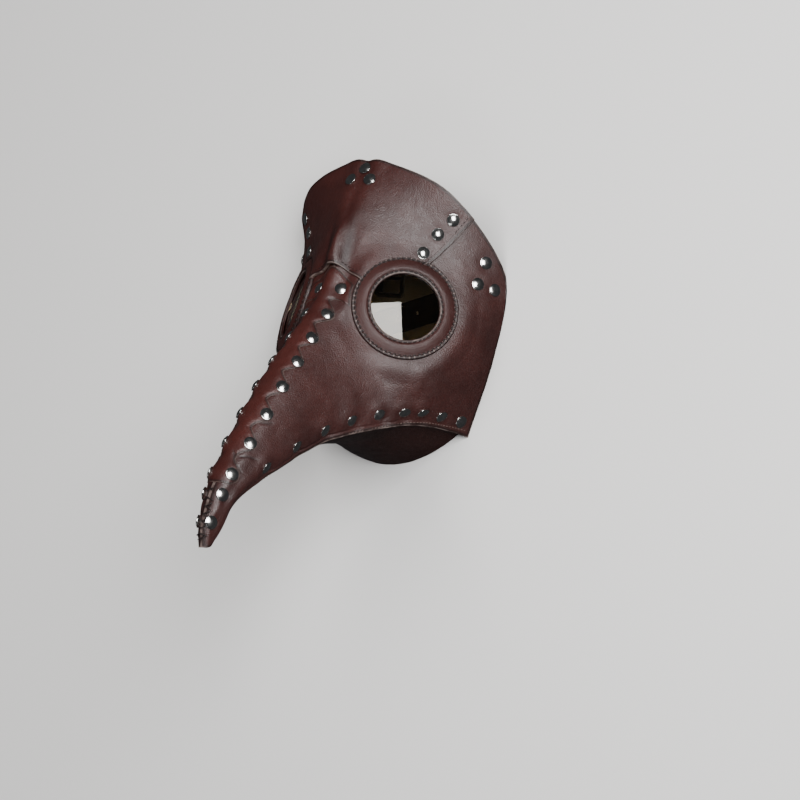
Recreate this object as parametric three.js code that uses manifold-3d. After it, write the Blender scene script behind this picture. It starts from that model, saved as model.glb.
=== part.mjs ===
// A beaked plague doctor mask of riveted brown leather, lying face up on the rim of its open back.
// Millimetres. +X is the wearer's left, +Y runs towards the crown, +Z points away from the face.

import * as THREE from 'three';
import { mergeVertices } from 'three/addons/utils/BufferGeometryUtils.js';
import Module from 'manifold-3d';

const wasm = await Module();
wasm.setup();

// Leather thicknesses and the gap kept between pieces that touch
const PANEL = 2.4;
const STRIP = 2.2;
const CHIN = 2.2;
const STRAP = 2.4;
const GAP = 0.3;

// Guide lines of the face shell, wearer's left half. Each has one point per section of the mask,
// from the tip of the beak (section 0) over the beak (1 to 5) and the brow (6) to the rear rim (8).
// The origin here is under the bridge of the nose, on the plane that the mask lies on.
const TIP = 0;
const RIM = 8;
const RIDGE = [
  [0, -204.5, 202], [0, -188, 202.8], [0, -162, 195], [0, -130.5, 176], [0, -89.5, 148],
  [0, -52, 117.2], [0, -15, 90.3], [0, 26, 77.5], [0, 78, 54],
];
const SHOULDER = [
  [3, -204.5, 200.6], [5.4, -187.3, 200.6], [8.2, -162, 191.9], [10.2, -132.3, 173], [10.9, -91.2, 144.7],
  [9.6, -54, 114.8], [9.2, -16.6, 86], [12, 28, 73], [16, 77, 53],
];
const BROW = [
  [4, -204, 198.6], [7, -188.5, 196.4], [11, -165, 187.3], [15.5, -137.8, 165.6], [20.5, -99, 132.5],
  [24, -65, 100.5], [29, -22, 78.5], [46, 24, 47.6], [62, 57, 38],
];
const TEMPLE = [
  [4, -203, 196.2], [7.2, -190, 192.4], [12, -167.6, 183.2], [18, -143, 159.2], [25, -109, 121.5],
  [34, -78, 87.5], [50, -35, 60], [76.5, -11, 25.5], [88.5, 4, 0],
];
const CHEEK = [
  [3.2, -202, 194.5], [5.8, -191.5, 189.2], [10, -170, 180.2], [17, -147.5, 155], [27, -117.5, 113],
  [43.5, -91, 71.5], [65.5, -71.5, 54], [77, -62, 28], [84, -50, 0],
];
const SEAM = [
  [0.6, -201.5, 193.6], [1.2, -192.5, 187.6], [7.5, -171.3, 178.2], [14.5, -150.5, 151.5], [26, -123.8, 108],
  [46, -108.5, 63], [56, -105, 38], [63.5, -106.3, 13], [68, -108.8, 0],
];
const KEEL = [
  [0, -201.3, 193.4], [0, -191.5, 187.8], [0, -172.5, 176.5], [0, -154.5, 149.5], [0, -130, 104],
  [0, -121.5, 60], [0, -123.5, 34], [0, -127.5, 13], [0, -130.6, 0],
];
const GUIDES = [RIDGE, SHOULDER, BROW, TEMPLE, CHEEK, SEAM].map(toVectors);
const KEEL_LINE = toVectors(KEEL);
const EDGE = GUIDES.length - 1;

// Left eye: a round flat seat, where the leather is drawn flat around the lens
const EYE = new THREE.Vector3(46.3, -25.4, 60.7);
const EYE_AXIS = new THREE.Vector3(0.675, 0.231, 0.701).normalize();
const EYE_OPENING = 24;
const RING_RADIUS = 37.7;
const RING_HEIGHT = 3.3;
const LENS_RADIUS = 27;
const LENS_THICKNESS = 1;
const FLAT_RADIUS = 39;
const BLEND_RADIUS = 54;

// Where the panels end, in sections and in guides. Forehead and cheeks lap, so they share one grid.
const BROW_SEAM = 6.3;
const BROW_LAP = 6.75;
const SIDE_SEAM = 2.33;
const SIDE_LAP = 1.95;
const UPPER_SECTIONS = [BROW_SEAM, 6.52, BROW_LAP, 7, 7.25, 7.5, 7.75, RIM];
const UPPER_GUIDES = [0.2, 0.45, 0.8, 1.2, 1.6, SIDE_LAP, SIDE_SEAM];
const STRIP_END = 2.05;
const CHIN_START = 1.75;

// Domed rivets, placed by section and guide
const CAP_RADIUS = 4.5;
const CAP_HEIGHT = 2.2;
const RIDGE_RIVETS = [2.28, 3, 3.52, 4, 4.5, 5, 5.5, 6];
const RIDGE_ROW = 1;
const TIP_RIVETS = [[1.775, 1.07], [1, 1.03]];
const SEAM_RIVETS = [
  [2.9, 3.3], [3.52, 3.7], [4.02, 4], [4.43, 4.25], [4.85, 4.47], [5.37, 4.67], [5.95, 4.75], [6.55, 4.8],
  [7.35, 4.83],
];
const BROW_RIVETS = [[6.85, 2.15], [7.22, 2.13], [7.65, 2.17]];
const TEMPLE_RIVETS = [[7.65, 2.73], [7.22, 2.9], [7.6, 3.07]];
const CROWN_RIVETS = [[7.7, 0.66], [7.88, 0]];

// Nose strip: its lift off the cheeks, and how far its lobes and notches reach from the ridge
const STRIP_LIFT = 0.75;
const LOBE = 15.6;
const NOTCH = 7;
const LOBE_PITCH = 24.4;

// Side straps. The long one drifts sideways by a share of its length, to lie clear of the short one.
const STRAP_WIDTH = 20;
const STRAP_Y = 2;
const STRAP_CLEAR = 2.4;
const TURN_RADIUS = 5;
const LONG_END = -46;
const LONG_DRIFT = -0.3;
const SHORT_END = 18;
const HOLES = [0.25, 0.45, 0.65, 0.85];
const HOLE_RADIUS = 2;

// Buckle and keeper of the short strap, and its end folded back over itself: steps along and up
const WIRE = 2.6;
const FRAME_LENGTH = 22;
const FRAME_WIDTH = STRAP_WIDTH + 2 * WIRE + 1.6;
const PRONG_THICKNESS = 1.6;
const PRONG_WIDTH = 2.2;
const SLOT_LENGTH = 16;
const SLOT_WIDTH = 4;
const FOLD_RADIUS = 3.4;
const FOLDED_END = [[5, 2.6], [11, 0.6], [16, 0], [34, 0]];
const KEEPER_WALL = 1.6;
const KEEPER_LENGTH = 9;
const KEEPER_PLACE = 22;
const SHORT_HEIGHT = KEEPER_WALL + 2 * GAP + STRAP / 2;
const BAR = new THREE.Vector3(SHORT_END, STRAP_Y, SHORT_HEIGHT + FOLD_RADIUS);
const TIP_DOWN = Math.asin((BAR.z - WIRE / 2 - GAP) / (FRAME_LENGTH - WIRE));

const leather = (tint) => new THREE.MeshStandardMaterial({ color: tint, roughness: 0.55, metalness: 0 });
const nickel = () => new THREE.MeshStandardMaterial({ color: 0xc8c8c4, roughness: 0.2, metalness: 1 });

function toVectors(points) {
  return points.map((p) => new THREE.Vector3(...p));
}

// A smooth curve through points, at position t counted in points. The curve runs on past its last
// point, and before may give the point that it comes from.
function along(points, t, before) {
  const last = points.length - 2;
  const i = Math.min(Math.max(Math.floor(t), 0), last);
  const u = t - i;
  const b = points[i];
  const c = points[i + 1];
  const a = i > 0 ? points[i - 1] : before ?? b.clone().multiplyScalar(2).sub(c);
  const d = i < last ? points[i + 2] : c.clone().multiplyScalar(2).sub(b);
  const mix = (k) => {
    const slope = c[k] - a[k];
    const bend = 2 * a[k] - 5 * b[k] + 4 * c[k] - d[k];
    const turn = 3 * b[k] - a[k] - 3 * c[k] + d[k];
    return b[k] + 0.5 * u * (slope + u * (bend + u * turn));
  };
  return new THREE.Vector3(mix('x'), mix('y'), mix('z'));
}

function smooth(from, to, value) {
  return THREE.MathUtils.smoothstep(value, from, to);
}

// Outer face of the cheek leather, at a section and a guide, both fractional
function face(section, guide) {
  const row = GUIDES.map((line) => along(line, section));
  const mirrored = row[1].clone().setX(-row[1].x);
  const p = along(row, guide, mirrored);
  const offset = p.clone().sub(EYE);
  const height = offset.dot(EYE_AXIS);
  const reach = offset.addScaledVector(EYE_AXIS, -height).length();
  const flat = (1 - smooth(FLAT_RADIUS, BLEND_RADIUS, reach)) * smooth(1.05, 1.6, guide);
  return p.addScaledVector(EYE_AXIS, -height * flat);
}

function faceNormal(section, guide) {
  const step = 0.02;
  const ds = face(section + step, guide).sub(face(section - step, guide));
  const dg = face(section, guide + step).sub(face(section, Math.max(guide - step, 0)));
  return dg.cross(ds).normalize();
}

// A point above or below the leather's outer face. A negative guide is the wearer's right half.
function above(section, guide, lift) {
  const g = Math.abs(guide);
  const n = g < 0.01 ? faceNormal(section, 0.01).setX(0).normalize() : faceNormal(section, g);
  const p = face(section, g).addScaledVector(n, lift);
  return guide < 0 ? p.setX(-p.x) : p;
}

// The pinched fold that stands up the middle of the forehead, beside a shallow hollow
function fold(section, guide) {
  const x = face(section, Math.abs(guide)).x;
  const fade = smooth(BROW_SEAM - 0.2, BROW_SEAM + 0.15, section) * (1 - smooth(6.7, 7.5, section));
  return fade * (3.2 * Math.exp(-((x / 4.5) ** 2)) - 1.2 * Math.exp(-(((x - 11) / 6) ** 2)));
}

// Underside of the beak and chin: a sagging web between the two lower edges of the cheeks
function web(section, across) {
  const hold = above(section, 4.85, -PANEL - GAP);
  const keel = along(KEEL_LINE, section);
  const p = keel.lerp(hold, across ** 2);
  return p.setX(hold.x * across);
}

function webNormal(section, across) {
  const step = 0.02;
  const ds = web(section + step, across).sub(web(section - step, across));
  const da = web(section, across + step).sub(web(section, across - step));
  return ds.cross(da).normalize();
}

// A closed sheet of leather over a grid of sections and guides. Cells that keep refuses are left out.
function sheet(rows, columns, outer, inner, keep = () => true) {
  const wide = columns.length;
  const half = rows.length * wide;
  const positions = [];
  for (const side of [outer, inner]) {
    for (const r of rows) {
      for (const c of columns) {
        positions.push(...side(r, c).toArray());
      }
    }
  }
  const kept = (i, j) => {
    if (i < 0 || j < 0 || i > rows.length - 2 || j > wide - 2) {
      return false;
    }
    return keep((rows[i] + rows[i + 1]) / 2, (columns[j] + columns[j + 1]) / 2);
  };
  const index = [];
  const quad = (a, b, c, d) => index.push(a, b, c, a, c, d);
  for (let i = 0; i < rows.length - 1; i += 1) {
    for (let j = 0; j < wide - 1; j += 1) {
      if (!kept(i, j)) {
        continue;
      }
      const a = i * wide + j;
      const b = a + 1;
      const c = b + wide;
      const d = a + wide;
      quad(a, b, c, d);
      quad(half + d, half + c, half + b, half + a);
      const sides = [[i - 1, j, a, b], [i, j + 1, b, c], [i + 1, j, c, d], [i, j - 1, d, a]];
      for (const [ni, nj, p, q] of sides) {
        if (!kept(ni, nj)) {
          quad(half + p, half + q, q, p);
        }
      }
    }
  }
  const geometry = new THREE.BufferGeometry();
  geometry.setAttribute('position', new THREE.Float32BufferAttribute(positions, 3));
  geometry.setIndex(index);
  return facingOut(geometry);
}

function volume(geometry) {
  const p = geometry.attributes.position;
  const at = (k) => new THREE.Vector3().fromBufferAttribute(p, geometry.index.getX(k));
  let sum = 0;
  for (let k = 0; k < geometry.index.count; k += 3) {
    sum += at(k).dot(at(k + 1).cross(at(k + 2)));
  }
  return sum / 6;
}

function facingOut(geometry) {
  if (volume(geometry) < 0) {
    const turned = Array.from(geometry.index.array).reverse();
    geometry.setIndex(turned);
  }
  return geometry;
}

function solid(geometry) {
  const bare = geometry.clone();
  bare.deleteAttribute('normal');
  bare.deleteAttribute('uv');
  const merged = mergeVertices(bare, 1e-4);
  const mesh = new wasm.Mesh({
    numProp: 3,
    vertProperties: new Float32Array(merged.attributes.position.array),
    triVerts: new Uint32Array(merged.index.array),
  });
  return new wasm.Manifold(mesh);
}

function fromSolid(body) {
  const mesh = body.getMesh();
  const geometry = new THREE.BufferGeometry();
  geometry.setAttribute('position', new THREE.BufferAttribute(new Float32Array(mesh.vertProperties), 3));
  geometry.setIndex(new THREE.BufferAttribute(new Uint32Array(mesh.triVerts), 1));
  return geometry;
}

function mirrored(geometry) {
  const copy = geometry.clone().applyMatrix4(new THREE.Matrix4().makeScale(-1, 1, 1));
  return facingOut(copy);
}

function steps(from, to, count) {
  return Array.from({ length: count + 1 }, (_, k) => from + ((to - from) * k) / count);
}

const group = new THREE.Group();

function add(name, geometry, material) {
  const shown = geometry.index ? geometry.toNonIndexed() : geometry;
  shown.computeVertexNormals();
  const mesh = new THREE.Mesh(shown, material);
  mesh.name = name;
  group.add(mesh);
}

// Turns a lathed piece, made round +Y, so that +Y becomes the given axis, and moves it to its place
function seat(geometry, axis, place) {
  const turn = new THREE.Quaternion().setFromUnitVectors(new THREE.Vector3(0, 1, 0), axis);
  return geometry.applyQuaternion(turn).translate(place.x, place.y, place.z);
}

function lathe(profile, segments) {
  return new THREE.LatheGeometry(profile.map(([r, h]) => new THREE.Vector2(r, h)), segments);
}

// Everything above the plane that the mask lies on
const SPACE = 600;
const ABOVE_TABLE = solid(new THREE.BoxGeometry(SPACE, SPACE, SPACE).translate(0, 0, SPACE / 2));

// A round cutter for the eye: the opening through the leather, and the seat of the ring on top of it
const ROUND = 28;
const CUT_DEPTH = 14;
function eyeCutter() {
  const hole = EYE_OPENING + 0.6;
  const wide = RING_RADIUS + GAP + 0.2;
  const d = CUT_DEPTH;
  const profile = [[0, -d], [hole, -d], [hole, 0.05], [wide, 0.05], [wide, d], [0, d]];
  return solid(seat(lathe(profile, ROUND), EYE_AXIS, EYE));
}
const EYE_CUT = eyeCutter();

// Low polished dome, its flat back at height zero
function cap() {
  const r = CAP_RADIUS;
  const h = CAP_HEIGHT;
  return lathe([[0, 0], [r, 0], [0.8 * r, 0.66 * h], [0, h]], 8);
}

// How far the leather about a cap rises over the flat plane that the cap sits on
function swell(section, guide, normal) {
  const centre = face(section, guide);
  const step = 0.02;
  const perSection = face(section + step, guide).distanceTo(centre) / step;
  const perGuide = face(section, guide + step).distanceTo(centre) / step;
  let rise = 0;
  for (const turn of steps(0, 2 * Math.PI, 8)) {
    const s = section + (CAP_RADIUS * Math.cos(turn)) / perSection;
    const g = guide + (CAP_RADIUS * Math.sin(turn)) / perGuide;
    rise = Math.max(rise, 1.3 * face(s, Math.abs(g)).sub(centre).dot(normal));
  }
  return rise;
}

function capAt(section, guide, lift) {
  const n = guide < 0.01 ? faceNormal(section, 0.01).setX(0).normalize() : faceNormal(section, guide);
  return seat(cap(), n, above(section, guide, lift + swell(section, guide, n)));
}

function addPair(name, left, material) {
  add(`${name}_left`, left, material());
  add(`${name}_right`, mirrored(left), material());
}

// Cheek panels: each runs from the ridge down to the lower seam and from the tip back to the rim.
// They meet under the nose strip, and the row of rivets along the lower edge is set into them.
function cheekPanel() {
  const rows = [...steps(TIP, 6, 15), ...UPPER_SECTIONS, RIM + 0.2];
  const columns = [0.04, ...UPPER_GUIDES, 2.9, 3.5, 4.1, 4.65, EDGE];
  const keepIn = (p) => p.setX(Math.max(p.x, GAP / 2));
  const outer = (s, g) => keepIn(above(s, g, 0));
  const inner = (s, g) => keepIn(above(s, g, -PANEL));
  const keep = (s, g) => s < BROW_LAP || g > SIDE_LAP;
  let body = solid(sheet(rows, columns, outer, inner, keep));
  body = body.subtract(EYE_CUT).intersect(ABOVE_TABLE);
  for (const [s, g] of SEAM_RIVETS) {
    body = body.add(solid(capAt(s, g, -0.5)));
  }
  return fromSolid(body);
}
addPair('cheek_panel', cheekPanel(), () => leather(0x4a2723));

// Forehead panel: one piece over the brow, lapped over both cheeks, with a pinched fold in its middle
function foreheadPanel() {
  const columns = [...UPPER_GUIDES.map((g) => -g).reverse(), 0, ...UPPER_GUIDES];
  const outer = (s, g) => above(s, g, GAP + PANEL + fold(s, g));
  const inner = (s, g) => above(s, g, GAP + Math.max(fold(s, g), 0));
  const right = solid(mirrored(fromSolid(EYE_CUT)));
  return fromSolid(solid(sheet(UPPER_SECTIONS, columns, outer, inner)).subtract(EYE_CUT).subtract(right));
}
add('forehead_panel', foreheadPanel(), leather(0x4d2a26));

// Nose strip: covers the ridge, with a round lobe about each rivet and a notch between two of them
function guideAt(section, distance) {
  const step = 0.05;
  let guide = 0;
  let run = 0;
  while (run < distance) {
    run += face(section, guide + step).distanceTo(face(section, guide));
    guide += step;
  }
  return guide;
}

function stripHalfWidth(section) {
  let nearest = Infinity;
  const here = along(GUIDES[RIDGE_ROW], section);
  for (const s of RIDGE_RIVETS) {
    nearest = Math.min(nearest, here.distanceTo(along(GUIDES[RIDGE_ROW], s)));
  }
  const wave = 0.5 + 0.5 * Math.cos((2 * Math.PI * Math.min(nearest, LOBE_PITCH / 2)) / LOBE_PITCH);
  return NOTCH + (LOBE - NOTCH) * wave;
}

function noseStrip() {
  const rows = [...steps(STRIP_END, 2.6, 5), 2.73, 2.87, ...steps(3, BROW_SEAM - 0.02, 26)];
  const columns = steps(-1, 1, 8);
  const lifted = (lift) => (s, c) => above(s, c * guideAt(s, stripHalfWidth(s)), lift);
  return sheet(rows, columns, lifted(STRIP_LIFT + STRIP), lifted(STRIP_LIFT));
}
add('nose_strip', noseStrip(), leather(0x552b24));

// Chin panel: closes the underside of the beak and cups the chin down to the rim
function chinPanel() {
  const rows = [...steps(CHIN_START, 5, 11), ...steps(5.4, RIM + 0.2, 6)];
  const columns = [-1, -0.82, -0.6, -0.3, 0, 0.3, 0.6, 0.82, 1];
  const inner = (s, a) => web(s, a).addScaledVector(webNormal(s, a), -CHIN);
  return fromSolid(solid(sheet(rows, columns, web, inner)).intersect(ABOVE_TABLE));
}
add('chin_panel', chinPanel(), leather(0x3a2019));

// Eye rings: padded annuli, rebated underneath to hold the flat lens against the cheek
function eyeRing() {
  const bed = GAP + LENS_THICKNESS + GAP;
  const top = RING_HEIGHT;
  const rebate = LENS_RADIUS + 0.4;
  const profile = [
    [EYE_OPENING, bed], [rebate, bed], [rebate, GAP], [RING_RADIUS, GAP], [RING_RADIUS, top - 0.9],
    [31, top + 0.3], [EYE_OPENING + 1.4, top - 0.1], [EYE_OPENING, top - 0.8], [EYE_OPENING, bed],
  ];
  return seat(lathe(profile, ROUND), EYE_AXIS, EYE);
}
addPair('eye_ring', eyeRing(), () => leather(0x56302b));

function lens() {
  const r = LENS_RADIUS;
  const profile = [[0, GAP], [r, GAP], [r, GAP + LENS_THICKNESS], [0, GAP + LENS_THICKNESS]];
  return seat(lathe(profile, ROUND), EYE_AXIS, EYE);
}
const glass = () => new THREE.MeshStandardMaterial({
  color: 0x3a3326, roughness: 0.05, metalness: 0, transparent: true, opacity: 0.35,
});
addPair('lens', lens(), glass);

// Rivet caps that are pieces of their own
const ON_STRIP = STRIP_LIFT + STRIP + GAP;
const ON_FOREHEAD = PANEL + 2 * GAP + 0.15;
function rivetRow(name, places, lift) {
  places.forEach(([s, g], k) => addPair(`${name}_${k + 1}`, capAt(s, g, lift), nickel));
}
rivetRow('ridge_rivet', RIDGE_RIVETS.map((s) => [s, RIDGE_ROW]), ON_STRIP);
rivetRow('tip_rivet', TIP_RIVETS, GAP);
rivetRow('temple_rivet', TEMPLE_RIVETS, GAP);
rivetRow('brow_rivet', BROW_RIVETS, ON_FOREHEAD);
addPair('crown_rivet', capAt(...CROWN_RIVETS[0], ON_FOREHEAD), nickel);
add('crown_rivet_middle', capAt(...CROWN_RIVETS[1], ON_FOREHEAD), nickel());

// Straps: flat leather bands riveted inside the temples. With the mask laid down they run down to
// the table inside the rim, turn inwards and lie flat beside each other.
const WIDTHWAYS = new THREE.Vector3(0, 1, 0);

// A band along a line of points, with its width across the line and its thickness square to both
function band(points, width, thickness) {
  const count = points.length - 1;
  const edges = points.map((p, k) => {
    const run = points[Math.min(k + 1, count)].clone().sub(points[Math.max(k - 1, 0)]).normalize();
    const wide = WIDTHWAYS.clone().addScaledVector(run, -WIDTHWAYS.dot(run)).normalize();
    const thick = run.cross(wide);
    return [p, wide.multiplyScalar(width / 2), thick.multiplyScalar(thickness / 2)];
  });
  const at = (side) => (r, c) => {
    const [p, wide, thick] = edges[r];
    return p.clone().addScaledVector(wide, c).addScaledVector(thick, side);
  };
  return sheet(steps(0, count, count), [-1, 1], at(1), at(-1));
}

// Centre line of a strap on the wearer's left: down the inside of the temple, round a turn and flat
// along the table at the given height, to its end at x. It drifts sideways by a share of its length.
function strapLine(height, end, drift) {
  const hang = -PANEL - STRAP_CLEAR - STRAP / 2;
  const top = above(7.15, 2.9, hang).setY(0);
  const low = above(7.8, 2.97, hang).setY(0);
  const slope = Math.atan2(low.z - top.z, low.x - top.x);
  const turnZ = height + TURN_RADIUS * (1 + Math.cos(slope));
  const bottom = top.clone().lerp(low, (turnZ - top.z) / (low.z - top.z));
  const inward = new THREE.Vector3(Math.sin(slope), 0, -Math.cos(slope));
  const centre = bottom.clone().addScaledVector(inward, TURN_RADIUS);
  const line = [0, 0.33, 0.66].map((share) => top.clone().lerp(bottom, share));
  for (const a of steps(slope + Math.PI / 2, -Math.PI / 2, 5)) {
    line.push(new THREE.Vector3(TURN_RADIUS * Math.cos(a), 0, TURN_RADIUS * Math.sin(a)).add(centre));
  }
  for (const x of steps(centre.x - 12, end, 4)) {
    line.push(new THREE.Vector3(x, 0, height));
  }
  let run = 0;
  return line.map((p, k) => {
    run += k > 0 ? p.distanceTo(line[k - 1]) : 0;
    return p.clone().setY(STRAP_Y + drift * run);
  });
}

// The wearer's left strap is the long one, with a row of holes towards its free end
function leftStrap() {
  const line = strapLine(STRAP / 2, LONG_END, LONG_DRIFT);
  const end = line.at(-1);
  const start = line.at(-4);
  let body = solid(band(line, STRAP_WIDTH, STRAP)).intersect(ABOVE_TABLE);
  for (const share of HOLES) {
    const pin = lathe([[0, -STRAP], [HOLE_RADIUS, -STRAP], [HOLE_RADIUS, STRAP], [0, STRAP]], 8);
    body = body.subtract(solid(seat(pin, new THREE.Vector3(0, 0, 1), start.clone().lerp(end, share))));
  }
  return fromSolid(body);
}
add('side_strap_left', leftStrap(), leather(0x40221d));

// The short strap, on the wearer's right, folds round the near bar of a flat rectangular buckle
// frame, which tips down until its far bar meets the table
function rightStrap() {
  const line = strapLine(SHORT_HEIGHT, SHORT_END, 0);
  for (const a of steps(-Math.PI / 2, Math.PI / 2, 5).slice(1)) {
    const out = new THREE.Vector3(-Math.cos(a), 0, Math.sin(a));
    line.push(out.multiplyScalar(FOLD_RADIUS).add(BAR));
  }
  const settled = SHORT_HEIGHT + STRAP + 2 * GAP;
  for (const [back, rise] of FOLDED_END) {
    line.push(new THREE.Vector3(SHORT_END + back, STRAP_Y, settled + rise));
  }
  const slot = new THREE.BoxGeometry(SLOT_LENGTH, SLOT_WIDTH, 12).translate(BAR.x - 3, BAR.y, BAR.z);
  return fromSolid(solid(band(line, STRAP_WIDTH, STRAP)).subtract(solid(slot)));
}
add('side_strap_right', mirrored(rightStrap()), leather(0x40221d));

// A rectangular ring with rounded corners, lying flat
function ring(length, width, wire, depth) {
  const outline = (l, w, r) => {
    const path = new THREE.Path();
    path.absarc(l / 2 - r, -w / 2 + r, r, -Math.PI / 2, 0);
    path.absarc(l / 2 - r, w / 2 - r, r, 0, Math.PI / 2);
    path.absarc(-l / 2 + r, w / 2 - r, r, Math.PI / 2, Math.PI);
    path.absarc(-l / 2 + r, -w / 2 + r, r, Math.PI, 1.5 * Math.PI);
    return path;
  };
  const shape = new THREE.Shape(outline(length, width, wire + 1).getPoints(2));
  shape.holes.push(new THREE.Path(outline(length - 2 * wire, width - 2 * wire, 1).getPoints(1)));
  return new THREE.ExtrudeGeometry(shape, { depth, bevelEnabled: false });
}

function buckleFrame() {
  const frame = ring(FRAME_LENGTH, FRAME_WIDTH, WIRE, WIRE).translate(0, 0, -WIRE / 2);
  frame.translate((WIRE - FRAME_LENGTH) / 2, 0, 0).rotateY(-TIP_DOWN);
  return mirrored(fromSolid(solid(frame.translate(BAR.x, BAR.y, BAR.z))));
}
add('buckle_frame', buckleFrame(), nickel());

// Prong: hooked round the near bar inside the strap's slot, its tip lying on the far bar
function buckleProng() {
  const inner = WIRE / 2 + 2 * GAP;
  const outer = inner + PRONG_THICKNESS;
  const reach = FRAME_LENGTH + 1 - WIRE;
  const shape = new THREE.Shape();
  shape.moveTo(-reach, inner + 0.6);
  shape.lineTo(-reach, inner);
  shape.lineTo(0, inner);
  shape.absarc(0, 0, inner, Math.PI / 2, -Math.PI / 4, true);
  shape.absarc(0, 0, outer, -Math.PI / 4, Math.PI / 2, false);
  const prong = new THREE.ExtrudeGeometry(shape, { depth: PRONG_WIDTH, bevelEnabled: false, curveSegments: 4 });
  prong.translate(0, 0, -PRONG_WIDTH / 2).rotateX(Math.PI / 2).rotateY(-TIP_DOWN);
  return mirrored(fromSolid(solid(prong.translate(BAR.x, BAR.y, BAR.z))));
}
add('buckle_prong', buckleProng(), nickel());

// Keeper: a leather loop round both layers of the short strap, with room for the other strap's end
function strapKeeper() {
  const high = 3 * STRAP + 4 * GAP + 2 * KEEPER_WALL;
  const wide = STRAP_WIDTH + 4 * GAP + 2 * KEEPER_WALL;
  const loop = ring(high, wide, KEEPER_WALL, KEEPER_LENGTH).rotateY(Math.PI / 2);
  loop.translate(SHORT_END + KEEPER_PLACE, STRAP_Y, high / 2 + 0.05);
  return mirrored(fromSolid(solid(loop)));
}
add('strap_keeper', strapKeeper(), leather(0x40221d));

// The mask stands on its rim, so the middle of its bounding box on that plane is the origin
const box = new THREE.Box3().setFromObject(group);
group.position.y = -(box.min.y + box.max.y) / 2;
group.updateMatrixWorld(true);

export default group;
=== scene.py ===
import math

import bpy
import numpy as np
from mathutils import Matrix, Vector


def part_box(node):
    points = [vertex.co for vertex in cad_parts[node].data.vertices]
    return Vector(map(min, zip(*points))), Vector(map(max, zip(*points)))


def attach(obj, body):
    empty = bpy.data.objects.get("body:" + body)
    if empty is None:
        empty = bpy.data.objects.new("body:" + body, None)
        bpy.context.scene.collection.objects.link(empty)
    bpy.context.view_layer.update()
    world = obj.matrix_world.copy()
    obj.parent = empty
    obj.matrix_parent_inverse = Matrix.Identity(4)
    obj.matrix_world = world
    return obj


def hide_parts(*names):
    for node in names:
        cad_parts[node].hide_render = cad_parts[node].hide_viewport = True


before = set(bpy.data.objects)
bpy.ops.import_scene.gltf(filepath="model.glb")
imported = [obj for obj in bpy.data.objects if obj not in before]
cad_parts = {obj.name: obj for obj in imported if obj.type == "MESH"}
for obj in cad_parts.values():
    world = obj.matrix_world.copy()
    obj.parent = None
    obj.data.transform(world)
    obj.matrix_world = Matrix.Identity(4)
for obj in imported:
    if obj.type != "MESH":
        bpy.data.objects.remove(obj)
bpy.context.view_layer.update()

MM = 0.001


# Cheek panels. Two panels of 2.4 mm vegetable tanned leather, wet formed over a last and mirrored
# about the ridge. Each runs from the tip of the beak back to the rim, and from the ridge down to
# the lower edge, where it laps the chin panel. Guide lines run from the tip (0) to the rim (8).
PANEL = 2.4
GAP = 0.3
TIP = 0.0
RIM = 8.0
RIDGE = [
    (0, -204.5, 202), (0, -188, 202.8), (0, -162, 195), (0, -130.5, 176), (0, -89.5, 148),
    (0, -52, 117.2), (0, -15, 90.3), (0, 26, 77.5), (0, 78, 54),
]
SHOULDER = [
    (3, -204.5, 200.6), (5.4, -187.3, 200.6), (8.2, -162, 191.9), (10.2, -132.3, 173),
    (10.9, -91.2, 144.7), (9.6, -54, 114.8), (9.2, -16.6, 86), (12, 28, 73), (16, 77, 53),
]
BROW = [
    (4, -204, 198.6), (7, -188.5, 196.4), (11, -165, 187.3), (15.5, -137.8, 165.6),
    (20.5, -99, 132.5), (24, -65, 100.5), (29, -22, 78.5), (46, 24, 47.6), (62, 57, 38),
]
TEMPLE = [
    (4, -203, 196.2), (7.2, -190, 192.4), (12, -167.6, 183.2), (18, -143, 159.2),
    (25, -109, 121.5), (34, -78, 87.5), (50, -35, 60), (76.5, -11, 25.5), (88.5, 4, 0),
]
CHEEK = [
    (3.2, -202, 194.5), (5.8, -191.5, 189.2), (10, -170, 180.2), (17, -147.5, 155),
    (27, -117.5, 113), (43.5, -91, 71.5), (65.5, -71.5, 54), (77, -62, 28), (84, -50, 0),
]
SEAM = [
    (0.6, -201.5, 193.6), (1.2, -192.5, 187.6), (7.5, -171.3, 178.2), (14.5, -150.5, 151.5),
    (26, -123.8, 108), (46, -108.5, 63), (56, -105, 38), (63.5, -106.3, 13), (68, -108.8, 0),
]
GUIDES = np.array([RIDGE, SHOULDER, BROW, TEMPLE, CHEEK, SEAM], float).transpose(1, 0, 2)
LAST_GUIDE = 5.0
EYE = np.array((46.3, -25.4, 60.7))
EYE_AXIS = np.array((0.675, 0.231, 0.701)) / np.linalg.norm((0.675, 0.231, 0.701))
EYE_OPENING = 24.0
PANEL_OPENING = EYE_OPENING + 0.6
CALM_RADIUS = 36.0
FORMED_RADIUS = 44.0
FLAT_RADIUS = 39.0
BLEND_RADIUS = 54.0
BROW_SEAM = 6.3
BROW_LAP = 6.75
SIDE_LAP = 1.95

# The guide lines count y from the bridge of the nose; the frame counts it from its own middle
lens_low, lens_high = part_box("lens_left")
lens_middle = (lens_low.y + lens_high.y) / 2 / MM
LENS_SEAT = 0.8
SHIFT = np.array((0, lens_middle - EYE[1] - LENS_SEAT * EYE_AXIS[1], 0))

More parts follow.
